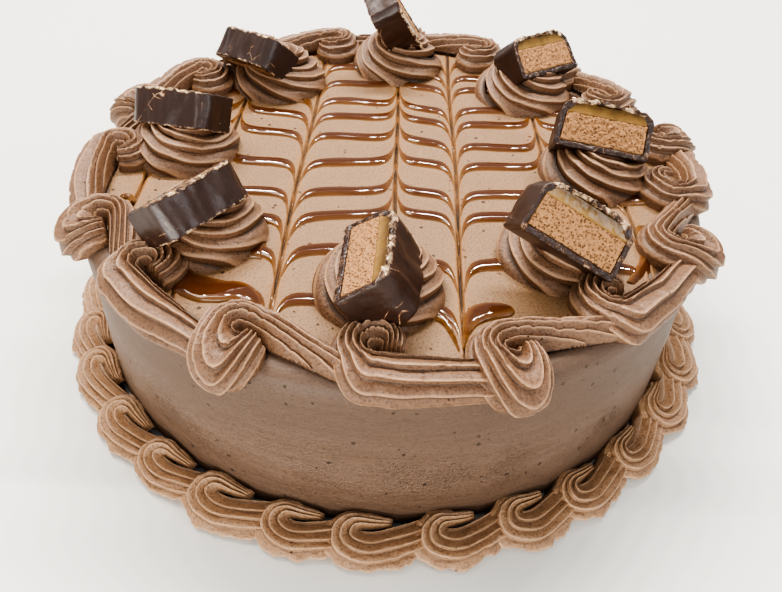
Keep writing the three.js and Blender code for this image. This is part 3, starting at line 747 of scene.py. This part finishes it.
# the same icing as the scrolls, tinted paler as painted light to make up for the low light at the foot;
# its crest colour is a painted highlight and its hollows get painted shade
shell_icing_painted_lighter = buttercream(
    "buttercream_piped_shells", "#8C6A50", "#A2805F", "#3A2416", (1, 1),
    crest="#C9A585", roughness=0.45)
shell_numbers = repeatable(11)
shells = []
for index in range(SHELL_COUNT):
    shift = math.radians(SHELL_FIRST + SHELL_SHIFT * next(shell_numbers))
    size = 1 + SHELL_RESIZE * next(shell_numbers)
    shells.append(place_shell(2 * math.pi * index / SHELL_COUNT + shift, size, 200 + 9 * index))
per_arc = SHELL_COUNT // SHELL_ARCS
for arc in range(SHELL_ARCS):
    border = sheet(f"shells_{arc + 1:02d}", 96, star_ridges(SHELL_RIDGES, 8),
                   shells[per_arc * arc:per_arc * (arc + 1)], shell_icing_painted_lighter, ("crest",))
    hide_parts(f"shell_border_{arc + 1:02d}")

# --------------------------------------------------------------- bar slices
# Slices of a bar of soft nougat with a strip of caramel on it, coated in dark
# chocolate. The knife crushed the brittle coat: its cut rim is scraped pale
# and flaky along the top, while the uncut top keeps its soft ripples.

# in millimetres, as all the sizes of a slice are
BAR_WIDTH, BAR_HEIGHT, BAR_BASE, BAR_WALL, BAR_TOP, NOUGAT_HEIGHT = 31, 17, 2, 1.6, 1.7, 9.4
# length, middle, direction out of the shown cut, direction up through the bar
SLICES = [
    (15, (-1.5, -73, 72.6), (-0.56, -0.01, 0.83), (0.83, -0.04, 0.56)),
    (13, (49.5, -57.5, 78), (0.2, -0.79, 0.57), (0.45, 0.6, 0.67)),
    (12.5, (69, 1, 75.5), (-0.06, -0.75, 0.66), (0.17, 0.64, 0.75)),
    (12.5, (53.5, 60, 74), (0.49, -0.52, 0.7), (-0.4, 0.58, 0.71)),
    (12, (-1.5, 76, 77.5), (0.86, 0.08, 0.51), (0.3, -0.92, -0.25)),
    (11.5, (-56.5, 54, 73.5), (0.38, 0.59, 0.72), (-0.53, -0.5, 0.69)),
    (12, (-73.5, 5, 74.5), (0.09, 0.52, 0.85), (-0.32, -0.79, 0.52)),
    (11.5, (-56, -50, 75), (-0.49, 0.33, 0.81), (0.67, -0.45, 0.59)),
]
CLOSED_SLICE = 0                  # this one is an end of the bar


def in_slice(index, points):
    """Points of a slice, in millimetres across, up and out of the cut, placed."""
    length, middle, cut, rise = SLICES[index]
    out = Vector(cut).normalized()
    top = (Vector(rise) - out * out.dot(Vector(rise))).normalized()
    side = top.cross(out)
    points = np.asarray(points) + [0, -BAR_HEIGHT / 2, length / 2]
    placed = points @ np.array([side, top, out]) + np.array(middle)
    return placed / 1000


def bar_outline(share, wall, low, high, rounding):
    """The bar's section at `share` of the way round it, its corners rounded."""
    foot = BAR_WIDTH / 2 - wall
    corners = np.array([
        (-foot, low), (foot, low), (foot - 0.5, high - 4), (foot - 3.4, high - 0.7),
        (3, high), (-3, high), (3.4 - foot, high - 0.7), (0.5 - foot, high - 4)])
    ring = np.vstack([corners, corners[:1]])
    runs = np.append(0, np.cumsum(np.hypot(*np.diff(ring, axis=0).T)))
    total, spread = runs[-1], rounding * np.array([-1, -0.6, -0.2, 0.2, 0.6, 1])
    return np.mean([np.stack([
        np.interp((share * total + shift) % total, runs, ring[:, way]) for way in (0, 1)], 1)
        for shift in spread], axis=0)


# dark chocolate, satin, with a faint uneven bloom
dark_chocolate, chocolate_shader = new_material("dark_chocolate_coating", 0.38, 0.55)
chocolate_place = add_node(dark_chocolate, "ShaderNodeTexCoord").outputs["Object"]
chocolate_scrape = add_node(dark_chocolate, "ShaderNodeAttribute", attribute_name="scraped")
chocolate_bloom = add_node(dark_chocolate, "ShaderNodeTexNoise", {
    "Vector": chocolate_place, "Scale": 130, "Detail": 5, "Roughness": 0.6})
chocolate_colour = add_node(dark_chocolate, "ShaderNodeMix", {
    0: chocolate_bloom.outputs[0], 6: linear("#22130C"), 7: linear("#3E261B")}, data_type="RGBA")
# flakes and crumbs of the crushed rim, about a millimetre across
chocolate_flakes = add_node(dark_chocolate, "ShaderNodeTexNoise", {
    "Vector": chocolate_place, "Scale": 900, "Detail": 4, "Roughness": 0.62, "Distortion": 1.2})
chocolate_pale = add_node(dark_chocolate, "ShaderNodeMath", {
    0: chocolate_flakes.outputs[0], 1: chocolate_scrape.outputs["Fac"]}, operation="MULTIPLY")
chocolate_pale = add_node(dark_chocolate, "ShaderNodeMapRange", {
    "Value": chocolate_pale.outputs[0], "From Min": 0.30, "From Max": 0.60})
# fine pale cracks in the brittle coat, in patches
chocolate_cracks = add_node(dark_chocolate, "ShaderNodeTexVoronoi", {
    "Vector": chocolate_place, "Scale": 110, "Randomness": 1.0}, feature="DISTANCE_TO_EDGE")
chocolate_crack = add_node(dark_chocolate, "ShaderNodeMath", {
    0: add_node(dark_chocolate, "ShaderNodeMapRange", {
        "Value": chocolate_cracks.outputs["Distance"], "From Min": 0.0, "From Max": 0.014,
        "To Min": 1.0, "To Max": 0.0}).outputs[0],
    1: add_node(dark_chocolate, "ShaderNodeMapRange", {
        "Value": chocolate_bloom.outputs[0], "From Min": 0.54, "From Max": 0.62}).outputs[0]},
    operation="MULTIPLY")
chocolate_scar = add_node(dark_chocolate, "ShaderNodeMath", {
    0: chocolate_pale.outputs[0], 1: chocolate_crack.outputs[0]}, operation="MAXIMUM")
chocolate_tones = add_node(dark_chocolate, "ShaderNodeValToRGB", {0: chocolate_scar.outputs[0]})
chocolate_tones.color_ramp.elements[0].color = linear("#3A241B")
chocolate_tones.color_ramp.elements[1].color = linear("#C9AC8A")
chocolate_tones.color_ramp.elements.new(0.4).color = linear("#77563F")
chocolate_colour = add_node(dark_chocolate, "ShaderNodeMix", {
    0: add_node(dark_chocolate, "ShaderNodeMapRange", {
        "Value": chocolate_scar.outputs[0], "From Max": 0.25}).outputs[0],
    6: chocolate_colour.outputs[2], 7: chocolate_tones.outputs[0]}, data_type="RGBA")
chocolate_bump = add_node(dark_chocolate, "ShaderNodeBump", {
    "Height": chocolate_pale.outputs[0], "Strength": 0.8, "Distance": 0.0008})
chocolate_bump = add_node(dark_chocolate, "ShaderNodeBump", {
    "Height": chocolate_bloom.outputs[0], "Normal": chocolate_bump.outputs[0],
    "Strength": 0.3, "Distance": 0.0015})
dark_chocolate.node_tree.links.new(
    chocolate_colour.outputs[2], chocolate_shader.inputs["Base Color"])
dark_chocolate.node_tree.links.new(
    chocolate_bump.outputs[0], chocolate_shader.inputs["Normal"])

# matt nougat
nougat, nougat_shader = new_material("soft_nougat", 0.75, 0.3)
nougat_place = add_node(nougat, "ShaderNodeTexCoord").outputs["Object"]
# whipped-in air, in pores of about 0.5 mm that the knife left open; the dark spots are partly the crumb's
# own tone and partly painted shade in the pores
nougat_pores = add_node(nougat, "ShaderNodeTexVoronoi", {
    "Vector": nougat_place, "Scale": 1300, "Randomness": 1.0})
nougat_crumb = add_node(nougat, "ShaderNodeTexNoise", {
    "Vector": nougat_place, "Scale": 1000, "Detail": 5, "Roughness": 0.7})
nougat_crumb_and_pore_shade = add_node(nougat, "ShaderNodeMapRange", {
    "Value": nougat_crumb.outputs[0], "From Min": 0.42, "From Max": 0.62,
    "To Min": 1.0, "To Max": 0.0})
nougat_crumb_and_pore_shade = add_node(nougat, "ShaderNodeMath", {
    0: nougat_crumb_and_pore_shade.outputs[0], 1: add_node(nougat, "ShaderNodeMapRange", {
        "Value": nougat_pores.outputs["Distance"], "From Min": 0.15, "From Max": 0.45,
        "To Min": 1.0, "To Max": 0.15}).outputs[0]}, operation="MULTIPLY")
nougat_colour = add_node(nougat, "ShaderNodeMix", {
    0: nougat_crumb_and_pore_shade.outputs[0], 6: linear("#AC8058"), 7: linear("#7C5636")}, data_type="RGBA")
nougat_bump = add_node(nougat, "ShaderNodeBump", {
    "Height": nougat_crumb_and_pore_shade.outputs[0], "Strength": 1.0, "Distance": 0.0009}, invert=True)
nougat.node_tree.links.new(nougat_colour.outputs[2], nougat_shader.inputs["Base Color"])
nougat.node_tree.links.new(nougat_bump.outputs[0], nougat_shader.inputs["Normal"])

# firm caramel, glossier than the nougat and a little see-through
bar_caramel, bar_caramel_shader = new_material("firm_caramel", 0.22, 0.5)
bar_caramel_shader.inputs["Subsurface Weight"].default_value = 0.15
bar_caramel_shader.inputs["Subsurface Radius"].default_value = (0.003, 0.0015, 0.0005)
bar_caramel_place = add_node(bar_caramel, "ShaderNodeTexCoord").outputs["Object"]
bar_caramel_pull = add_node(bar_caramel, "ShaderNodeTexNoise", {
    "Vector": bar_caramel_place, "Scale": 260, "Detail": 4, "Distortion": 0.6})
# it is clearer and darker towards the coat than on the pale nougat
bar_caramel_rise = add_node(bar_caramel, "ShaderNodeAttribute", attribute_name="rise")
bar_caramel_depth = add_node(bar_caramel, "ShaderNodeMapRange", {
    "Value": add_node(bar_caramel, "ShaderNodeMath", {
        0: bar_caramel_rise.outputs["Fac"], 1: bar_caramel_pull.outputs[0]}).outputs[0],
    "From Min": 0.35, "From Max": 1.35})
bar_caramel_colour = add_node(bar_caramel, "ShaderNodeMix", {
    0: bar_caramel_depth.outputs[0], 6: linear("#95733F"), 7: linear("#543B15")}, data_type="RGBA")
bar_caramel_bump = add_node(bar_caramel, "ShaderNodeBump", {
    "Height": bar_caramel_pull.outputs[0], "Strength": 0.4, "Distance": 0.0008})
bar_caramel.node_tree.links.new(
    bar_caramel_colour.outputs[2], bar_caramel_shader.inputs["Base Color"])
bar_caramel.node_tree.links.new(
    bar_caramel_bump.outputs[0], bar_caramel_shader.inputs["Normal"])


def place_coat(index):
    length = SLICES[index][0]
    closed = index == CLOSED_SLICE
    # along the coat: from inside it, over the cut rim, along it, to its far end
    knots = np.array([0, 0.08, 0.12, 0.2, 0.28, 0.31, 0.72, 0.75, 0.83, 0.92, 1.0])
    inward = np.array([1, 1, 0.9, 0.5, 0.1, 0, 0, 0.1, 0.9, 1, 1])
    depths = np.array([3, 0.2, 0, -0.15, 0, 0.35, length - 0.35, length, length, length - 0.2,
                       length - 3])
    if closed:
        inward[7:] = [0.25, 0.8, 1.0, 1.0]
        depths[7:] = [length - 0.1, length, length, length]

    def place(u, v):
        outer = bar_outline(u, 0, 0, BAR_HEIGHT, 1.1)
        inner = bar_outline(u, BAR_WALL, BAR_BASE, BAR_HEIGHT - BAR_TOP, 0.6)
        share = np.interp(v, knots, inward)[:, None]
        spots = outer * (1 - share) + inner * share
        depth = np.interp(v, knots, depths)
        if closed:
            gather = np.clip((v - 0.86) / 0.14, 0, 1)[:, None]
            spots = spots * (1 - gather) + np.array([0, BAR_HEIGHT / 2]) * gather
        spots = np.column_stack([spots, -depth])
        top = np.clip((outer[:, 1] - 14.5) / 1.5, 0, 1)
        crushed = 0.9 if index < 4 else 0.35    # less of the rim is flaky on slices 5 to 8
        rim = np.exp(-(depth / (0.6 + crushed * (0.2 + top))) ** 2) * (v < 0.5)
        back_rim = 0 if closed else np.exp(-((length - depth) / 0.8) ** 2) * (v > 0.5)
        waves = wavy(spots * [1, 1, 0.35] + 17 * index, 6, 380 + index, 2)
        spots[:, 1] += top * (0.7 * waves - 0.3) * (share[:, 0] < 0.5)
        dents = wavy(spots * [1, 1, 0.6] + 9 * index, 7, 385 + index, 2)
        spots[:, :2] *= 1 + 0.022 * (dents * (share[:, 0] < 0.5))[:, None]
        rough = wavy(spots + 40 * index, 1.9, 300 + index, 4)
        spots[:, 2] += rough * (rim * (0.35 + 0.8 * crushed * top) - 0.4 * back_rim)
        spots[:, 1] += 0.4 * crushed * wavy(spots - 40 * index, 1.6, 320 + index, 4) * rim * top
        spots[:, :2] *= 1 + 0.006 * wavy(spots, 6, 340 + index, 2)[:, None]
        ragged = 0.55 + 0.45 * wavy(spots, 2.2, 360 + index, 3)
        scraped = np.clip(rim * (0.75 + 1.0 * top) + back_rim * 1.3, 0, 1.5) * ragged
        scraped = np.clip(scraped * 1.3, 0, 1.4)
        return in_slice(index, spots), scraped
    return place


FILLING_GAP = 0.25  # between the filling's sides and the coat


def filling(name, index, low, high, relief, material):
    """A block of filling: its shown cut is a grid, extruded back to the far cut."""
    length = SLICES[index][0] - (BAR_WALL + 0.9 if index == CLOSED_SLICE else 0.1)
    waist = BAR_WIDTH / 2 - BAR_WALL - FILLING_GAP
    block = bmesh.new()
    level = block.verts.layers.float.new("rise")
    bmesh.ops.create_grid(
        block, x_segments=88, y_segments=max(6, round((high - low) * 3)), size=0.5)
    for vertex in block.verts:
        share, height = vertex.co.x * 2, low + (vertex.co.y + 0.5) * (high - low)
        shoulder = np.interp(height, [0, 12.7, 15.6], [0, 0.5, 3.2])
        vertex[level] = (height - low) / (high - low)
        vertex.co = (share * (waist - shoulder), height, 0)
    rim = [edge for edge in block.edges if edge.is_boundary]
    sides = bmesh.ops.extrude_edge_only(block, edges=rim)["geom"]
    far = [item for item in sides if isinstance(item, bmesh.types.BMVert)]
    far_set = set(far)
    bmesh.ops.translate(block, verts=far, vec=(0, 0, -length))
    bmesh.ops.contextual_create(block, geom=[
        item for item in sides if isinstance(item, bmesh.types.BMEdge)
        and item.verts[0] in far_set and item.verts[1] in far_set])
    spots = np.array([vertex.co for vertex in block.verts])
    front = np.array([vertex not in far_set for vertex in block.verts])
    near_edge = np.minimum(spots[:, 1] - low, high - spots[:, 1]) < 0.15
    bumps = relief[0] * wavy(spots + 30 * index, relief[1], 400 + index, 4) - 0.12
    spots[:, 2] += front * bumps - 0.12 * front * near_edge
    for vertex, spot in zip(block.verts, in_slice(index, spots)):
        vertex.co = spot
    bmesh.ops.recalc_face_normals(block, faces=block.faces[:])
    return finish_mesh(block, bpy.data.meshes.new(name), name, material)


for index in range(len(SLICES)):
    number = f"{index + 1:02d}"
    coat = sheet(f"slice_coat_{number}", 181, 61, place_coat(index), dark_chocolate, ("scraped",),
                 Vector(SLICES[index][1]) / 1000)
    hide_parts(f"bar_coat_{number}")
    split = BAR_BASE + NOUGAT_HEIGHT
    soft = filling(f"slice_nougat_{number}", index, BAR_BASE + 0.2, split, (0.28, 1.1), nougat)
    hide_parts(f"bar_nougat_{number}")
    firm = filling(f"slice_caramel_{number}", index, split + 0.05, BAR_HEIGHT - BAR_TOP - 0.2,
                   (0.14, 3.5), bar_caramel)
    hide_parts(f"bar_caramel_{number}")

# ------------------------------------------------------------ floor and light
# A plain pale table, lit from above by soft lamps. A row of small lamps high
# behind the cake gives the caramel its short bright highlights.

FLOOR_DROP = 0.0004  # the table lies this far under the cake

floor_shape = bmesh.new()
bmesh.ops.create_grid(floor_shape, x_segments=1, y_segments=1, size=3)
floor_mesh = bpy.data.meshes.new("floor")
floor_shape.to_mesh(floor_mesh)
floor_shape.free()
floor = bpy.data.objects.new("floor", floor_mesh)
floor.location.z = -FLOOR_DROP
bpy.context.collection.objects.link(floor)
floor_paint, floor_shader = new_material("pale_matt_table", 0.6, 0.3)
floor_shader.inputs["Base Color"].default_value = linear("#D3D2CD")
floor_mesh.materials.append(floor_paint)

world = bpy.data.worlds.new("soft_room")
bpy.context.scene.world = world
world.use_nodes = True
world.node_tree.nodes["Background"].inputs[0].default_value = linear("#E9ECEE")
world.node_tree.nodes["Background"].inputs[1].default_value = 0.75


def lamp(name, place, target, size, watts, colour):
    light = bpy.data.lights.new(name, "AREA")
    light.shape = "RECTANGLE"
    light.size, light.size_y = size
    light.energy = watts
    light.color = linear(colour)[:3]
    holder = bpy.data.objects.new(name, light)
    holder.matrix_world = Matrix.Translation(place) @ (
        Vector(target) - Vector(place)).to_track_quat("-Z", "Y").to_matrix().to_4x4()
    bpy.context.collection.objects.link(holder)


for step in range(-4, 5):
    lamp(f"row_lamp_{step + 5}", (0.15 * step, 0.68, 1.25), (0, 0, 0.03), (0.065, 0.035), 4.2,
         "#FFFAF4")
lamp("overhead", (-0.55, 0.25, 1.2), (0, 0, 0), (0.5, 0.5), 9, "#FFF6EC")
lamp("side_fill", (1.0, -0.7, 0.7), (0, 0, 0.03), (0.6, 0.6), 5, "#F4F8FF")
lamp("front_fill", (-0.25, -1.1, 0.75), (0, 0, 0.02), (0.5, 0.4), 4.5, "#FFF8F0")
lamp("low_window", (-0.3, -0.8, 0.13), (0, 0, 0.02), (0.6, 0.10), 5, "#FFFDF8")
